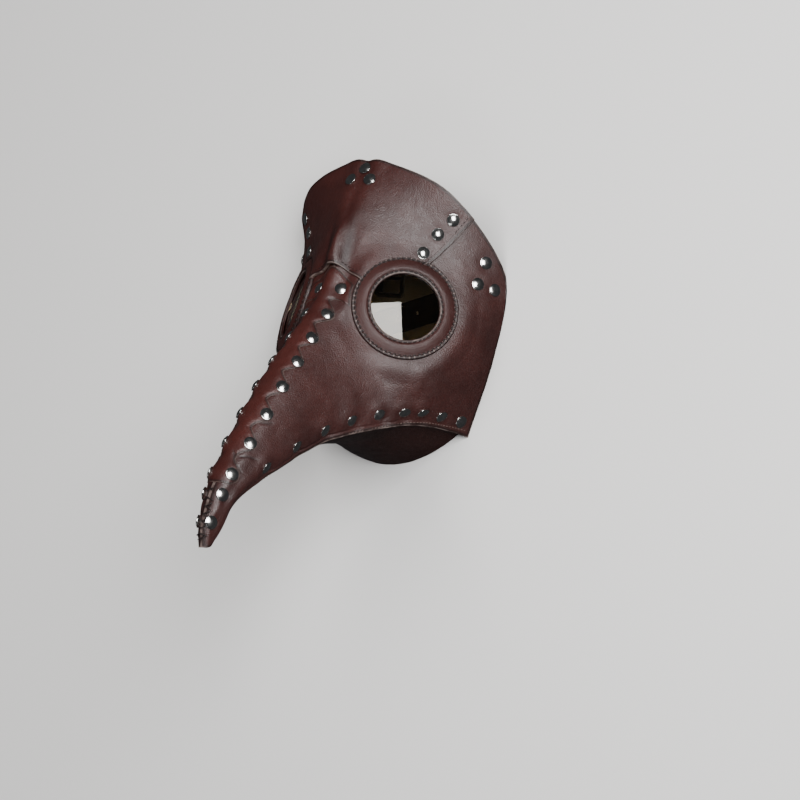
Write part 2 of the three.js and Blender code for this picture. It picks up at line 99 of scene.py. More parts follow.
RIDGE_RIVETS = [2.28, 3, 3.52, 4, 4.5, 5, 5.5, 6]
TIP_RIVETS = [(1.775, 1.07), (1, 1.03)]
SEAM_RIVETS = [
    (2.9, 3.3), (3.52, 3.7), (4.02, 4), (4.43, 4.25), (4.85, 4.47), (5.37, 4.67), (5.95, 4.75),
    (6.55, 4.8), (7.35, 4.83),
]
TEMPLE_RIVETS = [(7.65, 2.73), (7.22, 2.9), (7.6, 3.07)]
DIMPLE = 0.45
DIMPLE_RADIUS = 3.5
DIMPLE_WIDTH = 3.2
SIDES = (("left", False), ("right", True))
DETAIL = 1


def smooth(low, high, value):
    t = np.clip((value - low) / (high - low), 0, 1)
    return t * t * (3 - 2 * t)


def bend(a, b, c, d, u):
    """A point between b and c on the smooth curve through a, b, c and d."""
    turn = 3 * b - a - 3 * c + d
    return b + 0.5 * u * (c - a + u * (2 * a - 5 * b + 4 * c - d + u * turn))


def along(points, t):
    """Points of a smooth curve through points, at the places t counted in points."""
    t = np.asarray(t, float)
    last = len(points) - 2
    i = np.clip(np.floor(t).astype(int), 0, last)
    u = (t - i).reshape((-1,) + (1,) * (points.ndim - 1))
    first = (i == 0).reshape(u.shape)
    end = (i == last).reshape(u.shape)
    b = points[i]
    c = points[i + 1]
    a = np.where(first, 2 * b - c, points[np.maximum(i - 1, 0)])
    d = np.where(end, 2 * c - b, points[np.minimum(i + 2, last + 1)])
    return bend(a, b, c, d, u)


def face(sections, guides):
    """Outer face of the leather over guides and sections, one for each row or a whole grid of them.

    A negative guide is the right half.
    """
    sections = np.asarray(sections, float)
    guides = np.asarray(guides, float)
    if sections.ndim == 1:
        sections = sections[:, None]
    sections, signed = np.broadcast_arrays(sections, guides)
    shape = sections.shape
    rows = along(GUIDES, sections.ravel())
    signed = signed.ravel()
    g = np.abs(signed)
    last = int(LAST_GUIDE) - 1
    i = np.clip(np.floor(g).astype(int), 0, last)
    u = (g - i)[:, None]
    r = np.arange(len(g))
    b = rows[r, i]
    c = rows[r, i + 1]
    a = np.where((i == 0)[:, None], rows[:, 1] * (-1, 1, 1), rows[r, np.maximum(i - 1, 0)])
    d = np.where((i == last)[:, None], 2 * c - b, rows[r, np.minimum(i + 2, last + 1)])
    p = bend(a, b, c, d, u)
    offset = p - EYE
    height = offset @ EYE_AXIS
    reach = np.linalg.norm(offset - height[:, None] * EYE_AXIS, axis=-1)
    flat = (1 - smooth(FLAT_RADIUS, BLEND_RADIUS, reach)) * smooth(1.05, 1.6, g)
    p = p - (height * flat)[:, None] * EYE_AXIS
    p[:, 0] *= np.where(signed < 0, -1, 1)
    return p.reshape(*shape, 3)


def normals_of(grid):
    across = np.gradient(grid, axis=1)
    down = np.gradient(grid, axis=0)
    n = np.cross(across, down)
    return n / np.maximum(np.linalg.norm(n, axis=-1, keepdims=True), 1e-9)


def seat(section, guide, lift=0.0):
    """A point over the leather and the way it faces there."""
    step = 0.02
    patch = face((section - step, section, section + step), (guide - step, guide, guide + step))
    n = normals_of(patch)[1, 1]
    return patch[1, 1] + lift * n, n


def mottle(points, size, seed):
    """Soft random relief from -1 to 1, with hills about size apart, alike after every 24 hills."""
    count = 24
    lattice = np.random.default_rng(seed).uniform(-1, 1, (count, count, count))
    q = points / size + 400
    i = np.floor(q).astype(int)
    u = smooth(0, 1, q - i)
    total = 0
    for corner in np.ndindex(2, 2, 2):
        w = np.prod(np.where(corner, u, 1 - u), axis=-1)
        k = (i + corner) % count
        total = total + w * lattice[k[..., 0], k[..., 1], k[..., 2]]
    return total


def run_along(rows):
    """The length along each row of points, from the row's start."""
    steps = np.linalg.norm(np.diff(rows, axis=-2), axis=-1)
    return np.concatenate([np.zeros(steps.shape[:-1] + (1,)), np.cumsum(steps, axis=-1)], axis=-1)


def edge_distance(grid, sides=(True, True, True, True)):
    """How far each point of a grid is from its nearest border, along the grid.

    sides says which borders count: first row, last row, first column, last column.
    """
    top = run_along(grid.swapaxes(0, 1)).T
    left = run_along(grid)
    options = [top, top[-1:] - top, left, left[:, -1:] - left]
    return np.min([o for o, counts in zip(options, sides) if counts], axis=0)


def place(name, points, faces, marks=None, mirror=False):
    """Makes a piece from points in millimetres. marks are named values at its points."""
    points = np.array(points, float) + SHIFT
    faces = [list(f) for f in faces]
    if mirror:
        points[:, 0] *= -1
        faces = [f[::-1] for f in faces]
    mesh = bpy.data.meshes.new(name)
    mesh.from_pydata((points * MM).tolist(), [], faces)
    for key, values in (marks or {}).items():
        mark = mesh.attributes.new(key, "FLOAT", "POINT")
        mark.data.foreach_set("value", np.asarray(values, np.float32))
    mesh.polygons.foreach_set("use_smooth", [True] * len(mesh.polygons))
    mesh.update()
    piece = bpy.data.objects.new(name, mesh)
    bpy.context.scene.collection.objects.link(piece)
    return piece


def round_edges(piece, width, angle):
    """Rounds the edges that are sharper than an angle in degrees."""
    rounding = piece.modifiers.new("rounded edges", "BEVEL")
    rounding.width = width * MM
    rounding.segments = 3
    rounding.limit_method = "ANGLE"
    rounding.angle_limit = math.radians(angle)


def closed_sheet(
        name, outer, inner, edge, kept=None, mirror=False, bevel=0.55, crease_shade_mark=0.0, rubbed=0.0):
    """A sheet of leather between two grids, with walls round its borders and rounded edges.

    edge is the distance to the border. The fold mark is painted shade darkening folds and creases;
    rubbed marks pale worn places.
    """
    rows, columns = outer.shape[:2]
    half = rows * columns
    number = np.arange(half).reshape(rows, columns)
    a, b, c, d = number[:-1, :-1], number[:-1, 1:], number[1:, 1:], number[1:, :-1]
    if kept is None:
        kept = np.ones(a.shape, bool)
    faces = [np.stack([a, b, c, d], -1)[kept], np.stack([d, c, b, a], -1)[kept] + half]
    padded = np.pad(kept, 1)
    height, width = kept.shape
    neighbours = ((-1, 0, a, b), (0, 1, b, c), (1, 0, c, d), (0, -1, d, a))
    for i, j, p, q in neighbours:
        bare = kept & ~padded[1 + i:1 + i + height, 1 + j:1 + j + width]
        faces.append(np.stack([p + half, q + half, q, p], -1)[bare])
    faces = np.vstack(faces)
    points = np.vstack([outer.reshape(-1, 3), inner.reshape(-1, 3)])
    used = np.unique(faces)
    renumber = np.zeros(len(points), int)
    renumber[used] = np.arange(len(used))
    marks = {
        "edge": np.tile(np.maximum(np.exp(-(edge / 1.6) ** 2), rubbed).ravel(), 2)[used],
        "crease_shade_mark": np.tile(np.broadcast_to(crease_shade_mark, edge.shape).ravel(), 2)[used],
        "inside": np.repeat((0.0, 1.0), half)[used],
    }
    piece = place(name, points[used], renumber[faces].tolist(), marks, mirror)
    round_edges(piece, bevel, angle=50)
    return piece


def join(piece, material, slot, *nodes):
    """Gives a piece its finish, hides the CAD nodes it stands for, and lets it ride on the mask."""
    piece.data.materials.clear()
    piece.data.materials.append(material)
    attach(piece, "root")
    if nodes:
        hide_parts(*nodes)


def new_group(name, inputs, outputs):
    """A shader node group with named sockets, and its input and output nodes."""
    group = bpy.data.node_groups.new(name, "ShaderNodeTree")
    for label, kind, value in inputs:
        group.interface.new_socket(label, in_out="INPUT", socket_type=kind).default_value = value
    for label, kind in outputs:
        group.interface.new_socket(label, in_out="OUTPUT", socket_type=kind)
    return group, group.nodes.new("NodeGroupInput"), group.nodes.new("NodeGroupOutput")


def wire(tree, kind, inputs=(), **settings):
    """Adds a shader node. inputs maps its socket names or numbers to values or to other sockets."""
    node = tree.nodes.new(kind)
    for key, value in settings.items():
        setattr(node, key, value)
    for key, value in dict(inputs).items():
        if isinstance(value, bpy.types.NodeSocket):
            tree.links.new(value, node.inputs[key])
        else:
            node.inputs[key].default_value = value
    return node


def blend(tree, factor, a, b):
    """Mixes two colours and returns the result's socket."""
    node = wire(tree, "ShaderNodeMix", data_type="RGBA")
    for socket, value in ((node.inputs[0], factor), (node.inputs[6], a), (node.inputs[7], b)):
        if isinstance(value, bpy.types.NodeSocket):
            tree.links.new(value, socket)
        else:
            socket.default_value = value
    return node.outputs[2]


def math_node(tree, operation, *values):
    return wire(tree, "ShaderNodeMath", dict(enumerate(values)), operation=operation).outputs[0]


def span(tree, value, low, high, to_low, to_high):
    node = wire(tree, "ShaderNodeMapRange", {0: value, 1: low, 2: high, 3: to_low, 4: to_high})
    node.interpolation_type = "SMOOTHSTEP"
    return node.outputs[0]


def noise(tree, spot, scale, detail, roughness=0.5, distortion=0.0):
    inputs = {"Vector": spot, "Scale": scale, "Detail": detail, "Roughness": roughness}
    return wire(tree, "ShaderNodeTexNoise", {**inputs, "Distortion": distortion}).outputs[0]


def cells(tree, spot, scale, feature):
    inputs = {"Vector": spot, "Scale": scale}
    return wire(tree, "ShaderNodeTexVoronoi", inputs, feature=feature).outputs[0]


# Waxed leather: pebbled grain, wrinkles, creases and folds darkened as painted shade, a dark band
# along cut edges that is partly burnished edge and partly painted shade, pale rubbed edges and a
# rough flesh side. One group serves every leather piece, each with its own colours. The scales of
# its patterns count their marks in a metre.
# The next colour darkens a band along every cut edge: partly a dark burnished edge, partly painted
# shade of the edge's step
BURNISH_AND_EDGE_SHADE = (0.006, 0.0024, 0.002, 1)
# The next colour is painted shade: it darkens creases, folds, puckers and the forehead's valley
PAINTED_CREASE_SHADE = (0.010, 0.0016, 0.0012, 1)
FLESH_SIDE = (0.060, 0.033, 0.022)


def leather_group():
    group, given, result = new_group(
        "waxed_leather",
        [
            ("Dark", "NodeSocketColor", (0.03, 0.01, 0.008, 1)),
            ("Light", "NodeSocketColor", (0.1, 0.03, 0.02, 1)),
            ("Rubbed", "NodeSocketColor", (0.3, 0.2, 0.16, 1)),
            ("Flesh Side", "NodeSocketColor", (0.1, 0.06, 0.04, 1)),
            ("Grain Size", "NodeSocketFloat", 1.0),
            ("Wear", "NodeSocketFloat", 0.5),
        ],
        [
            ("Color", "NodeSocketColor"),
            ("Roughness", "NodeSocketFloat"),
            ("Height", "NodeSocketFloat"),
        ])
    spot = wire(group, "ShaderNodeTexCoord").outputs["Object"]
    grain_scale = math_node(group, "DIVIDE", 1150.0, given.outputs["Grain Size"])
    pebbles = cells(group, spot, grain_scale, "F1")
    cloudy = noise(group, spot, 28.0, 4.0, 0.6)
    patchy = noise(group, spot, 170.0, 5.0, 0.6)
    fine = noise(group, spot, 1300.0, 3.0, 0.65)
    creases = cells(group, spot, 520.0, "DISTANCE_TO_EDGE")
    edge, inside, crease_shade_mark = [
        wire(group, "ShaderNodeAttribute", attribute_name=mark).outputs["Fac"]
        for mark in ("edge", "inside", "crease_shade_mark")
    ]
    tone = span(group, cloudy, 0.25, 0.75, 0.1, 0.9)
    color = blend(group, tone, given.outputs["Dark"], given.outputs["Light"])
    pits = span(group, pebbles, 0.35, 0.85, 0.0, 0.6)
    color = blend(group, pits, color, given.outputs["Dark"])
    outside = math_node(group, "SUBTRACT", 1.0, inside)
    # A dark band along the cut edges: burnished edges, and painted shade of the edge's step
    burnish_and_edge_shade = math_node(group, "MULTIPLY", span(group, edge, 0.02, 0.5, 0.0, 0.75), outside)
    color = blend(group, burnish_and_edge_shade, color, BURNISH_AND_EDGE_SHADE)
    # Painted shade: folds and creases darken towards the painted shade colour
    color = blend(group, math_node(group, "MULTIPLY", crease_shade_mark, 0.8), color, PAINTED_CREASE_SHADE)
    broken = span(group, patchy, 0.36, 0.6, 0.15, 1.0)
    rubbed = math_node(group, "MULTIPLY", span(group, edge, 0.72, 0.97, 0.0, 1.0), broken)
    rubbed = math_node(group, "MULTIPLY", rubbed, given.outputs["Wear"])
    color = blend(group, rubbed, color, given.outputs["Rubbed"])
    color = blend(group, inside, color, given.outputs["Flesh Side"])
    group.links.new(color, result.inputs["Color"])
    rough = span(group, patchy, 0.3, 0.7, 0.40, 0.52)
    rough = math_node(group, "ADD", rough, math_node(group, "MULTIPLY", inside, 0.4))
    rough = math_node(group, "ADD", rough, math_node(group, "MULTIPLY", rubbed, 0.15))
    rough = math_node(group, "ADD", rough, math_node(group, "MULTIPLY", crease_shade_mark, 0.12))
    group.links.new(rough, result.inputs["Roughness"])
    height = math_node(group, "MULTIPLY", pebbles, -0.5)
    height = math_node(group, "ADD", height, math_node(group, "MULTIPLY", fine, 0.4))
    wrinkled = span(group, cloudy, 0.45, 0.7, 0.05, 0.5)
    wrinkle = math_node(group, "MULTIPLY", span(group, creases, 0.0, 0.14, -0.6, 0.0), wrinkled)
    height = math_node(group, "ADD", height, wrinkle)
    height = math_node(group, "ADD", height, math_node(group, "MULTIPLY", patchy, 0.5))
    group.links.new(height, result.inputs["Height"])
    return group


LEATHER_GROUP = leather_group()


def new_material(name, numbers):
    """A material, its nodes and its shader, with numbers set on the shader's own sockets."""
    material = bpy.data.materials.new(name)
    material.use_nodes = True
    shader = material.node_tree.nodes["Principled BSDF"]
    for socket, value in numbers.items():
        shader.inputs[socket].default_value = value
    return material, material.node_tree, shader


def add_bump(tree, shader, height, distance, strength):
    inputs = {"Height": height, "Distance": distance, "Strength": strength}
    bump = wire(tree, "ShaderNodeBump", inputs)
    tree.links.new(bump.outputs[0], shader.inputs["Normal"])


def leather(name, dark, light, rubbed, wear, grain=1.0, coat=0.12):
    """A leather of two dyed tones and a rubbed one, and how worn, coarse and waxed it is."""
    material, tree, shader = new_material(name, {"Coat Weight": coat, "Coat Roughness": 0.38})
    skin = tree.nodes.new("ShaderNodeGroup")
    skin.node_tree = LEATHER_GROUP
    tones = {"Dark": dark, "Light": light, "Rubbed": rubbed, "Flesh Side": FLESH_SIDE}
    for socket, tone in tones.items():
        skin.inputs[socket].default_value = (*tone, 1)
    skin.inputs["Grain Size"].default_value = grain
    skin.inputs["Wear"].default_value = wear
    tree.links.new(skin.outputs["Color"], shader.inputs["Base Color"])
    tree.links.new(skin.outputs["Roughness"], shader.inputs["Roughness"])
    add_bump(tree, shader, skin.outputs["Height"], 0.00045, 0.8)
    return material


SHELL = leather(
    "shell_leather", (0.021, 0.0054, 0.0046), (0.050, 0.0126, 0.0104), (0.25, 0.19, 0.17), wear=0.5)


def eye_reach(points):
    """How far points are from the axis of the left eye ring."""
    offset = points - EYE
    return np.linalg.norm(offset - (offset @ EYE_AXIS)[..., None] * EYE_AXIS, axis=-1)


def on_left(points):
    """The same places on the left half of the mask."""
    return np.stack([np.abs(points[..., 0]), points[..., 1], points[..., 2]], -1)


# The leather bends over at the lower edge and at the tip, and the rivets there lean down with it
EDGE_LEAN = 0.42
TIP_LEAN = 0.36
SEAT_RADIUS = 6.5


def lean_at(section, guide):
    """How far a rivet leans away from the ridge, as a slope down the side of the mask."""
    edge_lean = EDGE_LEAN * smooth(3.0, 3.3, guide) * (1 - smooth(6.0, 7.0, section))
    tip_lean = TIP_LEAN * (guide < 1.2) * (1 - smooth(2.0, 3.4, section))
    down = seat(section, guide + 0.1)[0] - seat(section, guide - 0.1)[0]
    return (edge_lean + tip_lean) * down / np.linalg.norm(down)


LEANING = [
    (seat(section, guide)[0], lean_at(section, guide))
    for section, guide in SEAM_RIVETS + TIP_RIVETS + [(s, 1) for s in RIDGE_RIVETS]
]


def shell_relief(points):
    """Marks of hand forming, alike on both halves: waves, dents and the rivets' leaning seats."""
    half = on_left(points)
    lift = 0.42 * mottle(half, 27, seed=11) + 0.13 * mottle(half, 8, seed=12)
    lift = lift + 0.04 * mottle(half, 3.2, seed=13)
    for middle, lean in LEANING:
        off = half - middle
        lift = lift - (off @ lean) * np.exp(-((np.linalg.norm(off, axis=-1) / SEAT_RADIUS) ** 2))
    return lift * smooth(CALM_RADIUS, FORMED_RADIUS, eye_reach(half))


def rivet_dimples(points, places, depth=DIMPLE):
    """The dimples that the setting of rivets pressed into the leather, deepest under their rims."""
    total = 0
    for section, guide in places:
        middle, _ = seat(section, guide)
        reach = np.linalg.norm(points - middle, axis=-1)
        total = total - depth * np.exp(-((reach - DIMPLE_RADIUS) / DIMPLE_WIDTH) ** 2)
    return total


def draw_fold(points, start, end, height, width):
    """A crease between two places on the leather: raised if height is positive."""
    a, _ = seat(*start)
    b, _ = seat(*end)
    run = b - a
    share = np.clip(((points - a) @ run) / (run @ run), 0, 1)
    off = np.linalg.norm(points - a - share[..., None] * run, axis=-1)
    return height * np.sin(np.pi * (0.12 + 0.76 * share)) * np.exp(-((off / width) ** 2))


def whole_cells(points_kept):
    """The cells of a grid whose four corners are all kept."""
    return points_kept[:-1, :-1] & points_kept[1:, :-1] & points_kept[:-1, 1:] & points_kept[1:, 1:]


def trim_hole(grid, radius):
    """Which cells stay round the eye opening, which points border it, and their way to it."""
    offset = grid - EYE
    height = offset @ EYE_AXIS
    flat = offset - height[..., None] * EYE_AXIS
    reach = np.linalg.norm(flat, axis=-1)
    kept = whole_cells(reach > radius)
    rows, columns = kept.shape
    touches = np.zeros(reach.shape, bool)
    border = np.zeros(reach.shape, bool)
    for i, j in np.ndindex(2, 2):
        touches[i:i + rows, j:j + columns] |= kept
        border[i:i + rows, j:j + columns] |= ~kept
    border &= touches & (np.abs(height) < 6) & (reach < radius + 4)
    way = flat / np.maximum(reach, 1e-6)[..., None] * (radius - reach)[..., None]
    return kept, border, way


def keep_above_table(*grids):
    for grid in grids:
        grid[..., 2] = np.maximum(grid[..., 2], 0)


# Sharp creases and soft folds where the strip and the rivets pull the leather of the cheeks: start
# and end as section and guide, then height and half width in millimetres
CHEEK_CREASES = [
    ((2.69, 0.8), (2.775, 1.33), -0.6, 0.9), ((2.775, 1.33), (2.85, 2.0), -0.6, 0.9),
    ((2.5, 0.85), (2.45, 1.6), -0.6, 0.9), ((3.36, 0.9), (3.46, 1.5), -0.6, 0.9),
]
CHEEK_FOLDS = [
    ((5.6, 3.4), (5.2, 4.3), 0.8, 7.0), ((6.3, 3.9), (5.6, 4.5), -0.8, 6.0),
    ((4.9, 2.6), (4.4, 4.0), 0.6, 9.0),
]


def cheek_places():
    """The sections and guides of the cheek's grid, closer together where the leather is creased."""
    share = np.linspace(0, 1, 230 // DETAIL)
    beak = np.interp(share, (0, 0.3, 0.56, 1), (TIP, 2.3, 3.5, BROW_SEAM))
    brow = np.linspace(BROW_SEAM, BROW_LAP, 20 // DETAIL)
    temple = np.linspace(BROW_LAP, RIM, 62 // DETAIL)
    upper = np.linspace(0.04, SIDE_LAP, 54 // DETAIL)
    lower = np.linspace(SIDE_LAP, LAST_GUIDE, 76 // DETAIL)
    sections = np.unique(np.concatenate([beak, brow, temple]))
    return sections, np.unique(np.concatenate([upper, lower]))


def cheek_panel(side, mirror):
    sections, guides = cheek_places()
    base = face(sections, guides)
    base[..., 0] = np.maximum(base[..., 0], GAP / 2)
    n = normals_of(base)
    dimples = rivet_dimples(base, SEAM_RIVETS + TEMPLE_RIVETS + TIP_RIVETS)
    lift = shell_relief(base) + smooth(CALM_RADIUS, FORMED_RADIUS, eye_reach(base)) * dimples
    for fold in CHEEK_CREASES + CHEEK_FOLDS:
        lift = lift + draw_fold(base, *fold)
    seam_run = edge_distance(base, (False, False, False, True))
    groove = 0.55 * np.exp(-((seam_run - 3.4) / 0.75) ** 2)
    bead = 0.25 * np.exp(-((seam_run - 1.4) / 1.2) ** 2)
    lift = (lift - groove + bead) * (0.35 + 0.65 * smooth(0.0, 0.6, sections)[:, None])
    outer = base + lift[..., None] * n
    inner = base + (lift * 0.5 - PANEL)[..., None] * n
    kept, border, way = trim_hole(base, PANEL_OPENING)
    for grid in (outer, inner):
        grid[border] += way[border]
        grid[..., 0] = np.maximum(grid[..., 0], GAP / 2)
    keep_above_table(outer, inner)
    under_forehead = (sections[:-1] + sections[1:])[:, None] / 2 >= BROW_LAP
    under_forehead = under_forehead & ((guides[:-1] + guides[1:])[None] / 2 <= SIDE_LAP)
    ridge_run = edge_distance(base, (False, False, True, False))
    worn = np.exp(-(ridge_run / 3.0) ** 2) * (1 - smooth(1.9, 2.1, sections))[:, None]
    # The creases are also darkened in colour, as painted shade in them
    creases = sum(draw_fold(base, start, end, 1.0, width) for start, end, _, width in CHEEK_CREASES)
    piece = closed_sheet(
        f"cheek_leather_{side}", outer, inner, edge_distance(base), kept & ~under_forehead, mirror,
        crease_shade_mark=np.minimum(1.2 * creases, 1), rubbed=0.85 * worn)
    join(piece, SHELL, "shell_leather", f"cheek_panel_{side}")


for side, mirror in SIDES:
    cheek_panel(side, mirror)


# Forehead panel. One piece over the brow, lapped over both cheeks. Its lower edge is cut to a low
# chevron over the nose, where a pinched fold runs up from it. Its cut edges are rubbed pale.
BROW_RIVETS = [(6.85, 2.15), (7.22, 2.13), (7.65, 2.17)]
CROWN_RIVETS = [(7.7, 0.66), (7.88, 0)]
SIDE_SEAM = 2.33
BROW_TOP = 6.40
BROW_DROP = 0.096
DROP_POWER = 1.9
FOREHEAD_CLEAR = 35.5
PINCH = 4.0
PINCH_HALF = 3.4
TROUGH = 0.9
TROUGH_AT = 9.0
VALLEY_AT = 6.6


def forehead_panel():
    guides = np.linspace(-SIDE_SEAM, SIDE_SEAM, 220 // DETAIL)
    low = BROW_TOP - BROW_DROP * np.abs(guides) ** DROP_POWER
    share = np.linspace(0, 1, 96 // DETAIL)[:, None]
    sections = low[None] + (RIM - low[None]) * share
    base = face(sections, guides)
    n = normals_of(base)
    x = np.abs(base[..., 0])
    fade = (0.5 + 0.5 * smooth(0, 0.15, sections - low)) * (1 - smooth(6.75, 7.3, sections))
    trough = TROUGH * np.exp(-(((x - TROUGH_AT) / 3.6) ** 2))
    pinch = fade * (PINCH * np.exp(-((x / PINCH_HALF) ** 2.6)) - trough)
    mirrored = base * (-1, 1, 1)
    reach = np.minimum(eye_reach(base), eye_reach(mirrored))
    relief = shell_relief(base)
    for half in (base, mirrored):
        dimples = rivet_dimples(half, BROW_RIVETS + CROWN_RIVETS)
        relief = relief + smooth(CALM_RADIUS, FORMED_RADIUS - 1, reach) * dimples
    outer = base + (GAP + PANEL + pinch + relief)[..., None] * n
    inner = base + (GAP + np.maximum(pinch, 0) + 0.4 * relief)[..., None] * n
    keep_above_table(outer)
    kept = whole_cells(reach > FOREHEAD_CLEAR)
    # Painted shade along the valley beside the pinched fold
    valley_shade = fade * np.exp(-(((x - VALLEY_AT) / 3.2) ** 2))
    piece = closed_sheet("forehead_leather", outer, inner, edge_distance(base), kept, crease_shade_mark=valley_shade)
    join(piece, SHELL, "shell_leather", "forehead_panel")


forehead_panel()


# Nose strip. A thin strip laid over the ridge from the brow to the cross seam near the tip. Its
# edges are skived thin and cut in a round lobe about each rivet, with a notch between two of them.
STRIP = 1.15
STRIP_LIFT = 0.15
SKIVED_LIFT = 0.06
STRIP_END = 2.05
STRIP_TOP = 6.375
WIDEST_GUIDE = 2.2
TOP_DROP = 0.149
TOP_REACH = 40.0
FLARE = (5.82, 6.02)
RING_CLEAR = 38.3
LOBE = 15.6
NOTCH = 7.0
SPACING = 24.4
SKIVED = 0.45
STRIP_DIMPLE = 0.3
STRIP_LEATHER = leather(
    "strip_leather", (0.027, 0.0060, 0.0048), (0.062, 0.0132, 0.0102), (0.24, 0.165, 0.14),
    wear=0.25)


def guide_at(sections, distance):
    """The guide that lies distance from the ridge, measured along the leather."""
    guides = np.linspace(0, WIDEST_GUIDE, 89)
    runs = run_along(face(sections, guides))
    return np.array([np.interp(d, run, guides) for d, run in zip(distance, runs)])


def strip_half_width(sections):
    row = along(GUIDES[:, 1], sections)
    rivets = along(GUIDES[:, 1], RIDGE_RIVETS)
    nearest = np.linalg.norm(row[:, None] - rivets[None], axis=-1).min(axis=1)
    wave = 0.5 + 0.5 * np.cos(2 * np.pi * np.minimum(nearest, SPACING / 2) / SPACING)
    return NOTCH + (LOBE - NOTCH) * wave ** 0.8


# Puckers that the setting of the lower rivets left in the strip, listed like the cheeks' folds
STRIP_FOLDS = [
    ((2.62, 0.62), (2.78, 0.30), -0.7, 0.9), ((2.62, 0.62), (2.50, 0.75), -0.6, 0.9),
    ((3.22, 0.95), (3.30, 0.55), -0.6, 0.9), ((3.74, 0.85), (3.80, 0.5), -0.4, 1.0),
]


def nose_strip():
    sections = np.linspace(STRIP_END, STRIP_TOP, 310 // DETAIL)
    drop = TOP_DROP * smooth(5.6, STRIP_TOP, sections)[:, None]
    wide = strip_half_width(sections)
    wide = wide + (TOP_REACH - wide) * smooth(*FLARE, sections)
    trial = np.linspace(0, WIDEST_GUIDE, 89)
    touches = eye_reach(face(sections[:, None] - drop * trial ** DROP_POWER, trial)) < RING_CLEAR
    free = np.where(touches.any(axis=1), trial[np.argmax(touches, axis=1)] - 0.02, WIDEST_GUIDE)
    reach = np.minimum(guide_at(sections, wide), free)
    guides = reach[:, None] * np.linspace(-1, 1, 65 // DETAIL)
    base = face(sections[:, None] - drop * np.abs(guides) ** DROP_POWER, guides)
    n = normals_of(base)
    border = edge_distance(base)
    half = on_left(base)
    under = shell_relief(base) + SKIVED_LIFT + (STRIP_LIFT - SKIVED_LIFT) * smooth(0.5, 5, border)
    dimples = rivet_dimples(half, [(s, 1) for s in RIDGE_RIVETS], STRIP_DIMPLE)
    uneven = (0.1 * mottle(base, 5, seed=22) + dimples) * smooth(0, 3, border)
    thick = SKIVED + (STRIP - SKIVED) * smooth(0, 5, border) + uneven
    folds = sum(draw_fold(half, *fold) for fold in STRIP_FOLDS)
    outer = base + (under + np.maximum(thick + folds, 0.3))[..., None] * n
    inner = base + under[..., None] * n
    # The puckers are darkened in colour, as painted shade in them
    crease_shade_mark = np.clip(-1.4 * folds, 0, 1)
    piece = closed_sheet("nose_strip_leather", outer, inner, border, bevel=0.15, crease_shade_mark=crease_shade_mark)
    join(piece, STRIP_LEATHER, "strip_leather", "nose_strip")


nose_strip()


# Chin panel. One thinner piece that closes the underside of the beak and cups the chin. It hangs
# between the lower edges of the cheeks, which lap it, and it stays in their shade.
CHIN = 2.2
CHIN_START = 1.75
HOLD_GUIDE = 4.85
KEEL = np.array([
    (0, -201.3, 193.4), (0, -191.5, 187.8), (0, -172.5, 176.5), (0, -154.5, 149.5), (0, -130, 104),
    (0, -121.5, 60), (0, -123.5, 34), (0, -127.5, 13), (0, -130.6, 0),
], float)
# The chin's colours are darker than the shell's: painted shade for its place under the beak
CHIN_LEATHER_PAINTED_SHADE = leather(
    "chin_leather", (0.016, 0.0048, 0.0038), (0.034, 0.0100, 0.0078), (0.12, 0.075, 0.06),
    wear=0.4, coat=0.0)


def chin_panel():
    sections = np.linspace(CHIN_START, RIM + 0.12, 170 // DETAIL)
    across = np.linspace(-1, 1, 81 // DETAIL)
    edge_strip = face(sections, (HOLD_GUIDE - 0.05, HOLD_GUIDE, HOLD_GUIDE + 0.05))
    hold = edge_strip[:, 1] + normals_of(edge_strip)[:, 1] * (-PANEL - GAP)
    keel = along(KEEL, sections)
    share = (across ** 2)[None, :, None]
    web = keel[:, None] * (1 - share) + hold[:, None] * share
    web[..., 0] = hold[:, None, 0] * across[None]
    n = -normals_of(web)
    relief = 0.4 * mottle(web, 22, seed=31) + 0.12 * mottle(web, 7, seed=32)
    relief = relief * smooth(0, 0.3, 1 - np.abs(across))[None]
    outer = web + relief[..., None] * n
    inner = web + (relief - CHIN)[..., None] * n
    keep_above_table(outer, inner)
    piece = closed_sheet("chin_leather", outer[:, ::-1], inner[:, ::-1], edge_distance(web))
    join(piece, CHIN_LEATHER_PAINTED_SHADE, "chin_leather", "chin_panel")


chin_panel()


# Eye rings. Padded leather annuli with a thin flange bead outside and two rows of dark stitches,
# which hold the lenses down on the cheeks. The stitches are waxed cord, laid in shallow grooves.
RING_LEATHER = leather(
    "ring_leather", (0.023, 0.0056, 0.0047), (0.050, 0.0128, 0.0104), (0.25, 0.19, 0.17),
    wear=0.6, grain=0.8, coat=0.0)
# The padded face from the opening out: distance from the eye's axis and height over the seat
RING_PROFILE = [
    (EYE_OPENING, 1.65), (24.02, 2.6), (24.4, 3.1), (25.2, 3.4), (25.9, 3.3), (26.4, 3.25),
    (27.1, 3.7), (28.2, 4.05), (30.2, 3.75), (32.3, 2.95), (33.6, 2.3), (34.4, 1.85), (34.9, 1.65),
    (35.4, 1.75), (36.0, 2.05), (36.8, 2.15), (37.3, 1.95), (37.6, 1.4), (37.7, 0.7), (37.6, -0.2),
]
# The underside, which lies on the cheek and holds the lens down with a step
RING_UNDER = [(36.6, -0.5), (27.4, -0.3), (27.4, 1.6), (24.5, 1.6)]
INNER_STITCHES = (26.1, 3.55)
OUTER_STITCHES = (35.3, 2.2)
INNER_COUNT = 47
OUTER_COUNT = 62
PUCKER = 0.42
PUCKERED = ((35.6, OUTER_COUNT), (25.9, INNER_COUNT))
SIDEWAYS = np.cross((0, 0, 1.0), EYE_AXIS) / np.linalg.norm(np.cross((0, 0, 1.0), EYE_AXIS))
UPRIGHT = np.cross(EYE_AXIS, SIDEWAYS)


